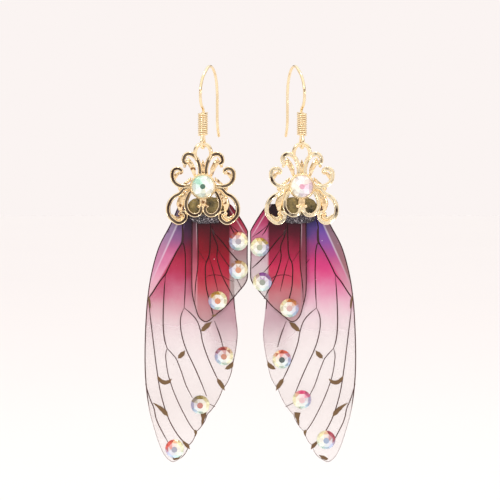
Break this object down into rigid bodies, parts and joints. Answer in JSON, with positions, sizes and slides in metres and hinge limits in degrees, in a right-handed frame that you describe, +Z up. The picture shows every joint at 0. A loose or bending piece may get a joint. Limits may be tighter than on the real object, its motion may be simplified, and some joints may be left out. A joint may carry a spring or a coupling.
{
  "type": "fairy wing earrings",
  "caption": "Pair of fairy-wing drop earrings: gilt ear hooks, scrollwork caps, and veined clear resin forewings and hindwings set with flat-backed crystals.",
  "frame": {"origin": "on the line of the rail that both hook bends hang over, midway between the two earrings, at the undersides of the bends", "axes": "+Z up; +X along the rail, from the left earring to the right one; +Y away from the viewer, towards the hooks' tails"},
  "size_m": [0.0447, 0.0126, 0.0838],
  "materials": {
    "gilt_wire": "polished light gold plating on drawn wire",
    "gilt_cast": "polished light gold plating on a cast filigree",
    "cap_crystal": "milky faceted flat-back crystal, foiled behind",
    "wing_crystal": "clear faceted flat-back crystal with a rainbow coating, foiled behind",
    "forewing_film": "clear resin film, violet to crimson to clear, with printed dark veins",
    "hindwing_film": "clear resin film, maroon to rose, with printed dark veins",
    "glitter_resin": "dark resin with fine silver glitter"
  },
  "bodies": {
    "hooks": {"left_ear_hook": "gilt_wire", "left_hook_coil": "gilt_wire", "right_ear_hook": "gilt_wire", "right_hook_coil": "gilt_wire"},
    "left_drop": {"left_filigree_cap": "gilt_cast", "left_cap_crystal": "cap_crystal", "left_root_resin": "glitter_resin", "left_forewing": "forewing_film", "left_forewing_crystal_1": "wing_crystal", "left_forewing_crystal_2": "wing_crystal", "left_forewing_crystal_3": "wing_crystal", "left_hindwing": "hindwing_film", "left_hindwing_crystal_1": "wing_crystal", "left_hindwing_crystal_2": "wing_crystal", "left_hindwing_crystal_3": "wing_crystal"},
    "right_drop": {"right_filigree_cap": "gilt_cast", "right_cap_crystal": "cap_crystal", "right_root_resin": "glitter_resin", "right_forewing": "forewing_film", "right_forewing_crystal_1": "wing_crystal", "right_forewing_crystal_2": "wing_crystal", "right_forewing_crystal_3": "wing_crystal", "right_hindwing": "hindwing_film", "right_hindwing_crystal_1": "wing_crystal", "right_hindwing_crystal_2": "wing_crystal", "right_hindwing_crystal_3": "wing_crystal"}
  },
  "joints": [
    {"name": "left_swing", "type": "hinge", "parent": "hooks", "child": "left_drop", "pos_m": [-0.01032, -0.00425, -0.01602], "axis": [1, 0, 0], "range_deg": [-90, 90]},
    {"name": "right_swing", "type": "hinge", "parent": "hooks", "child": "right_drop", "pos_m": [0.01032, -0.00425, -0.01602], "axis": [1, 0, 0], "range_deg": [-90, 90]}
  ]
}
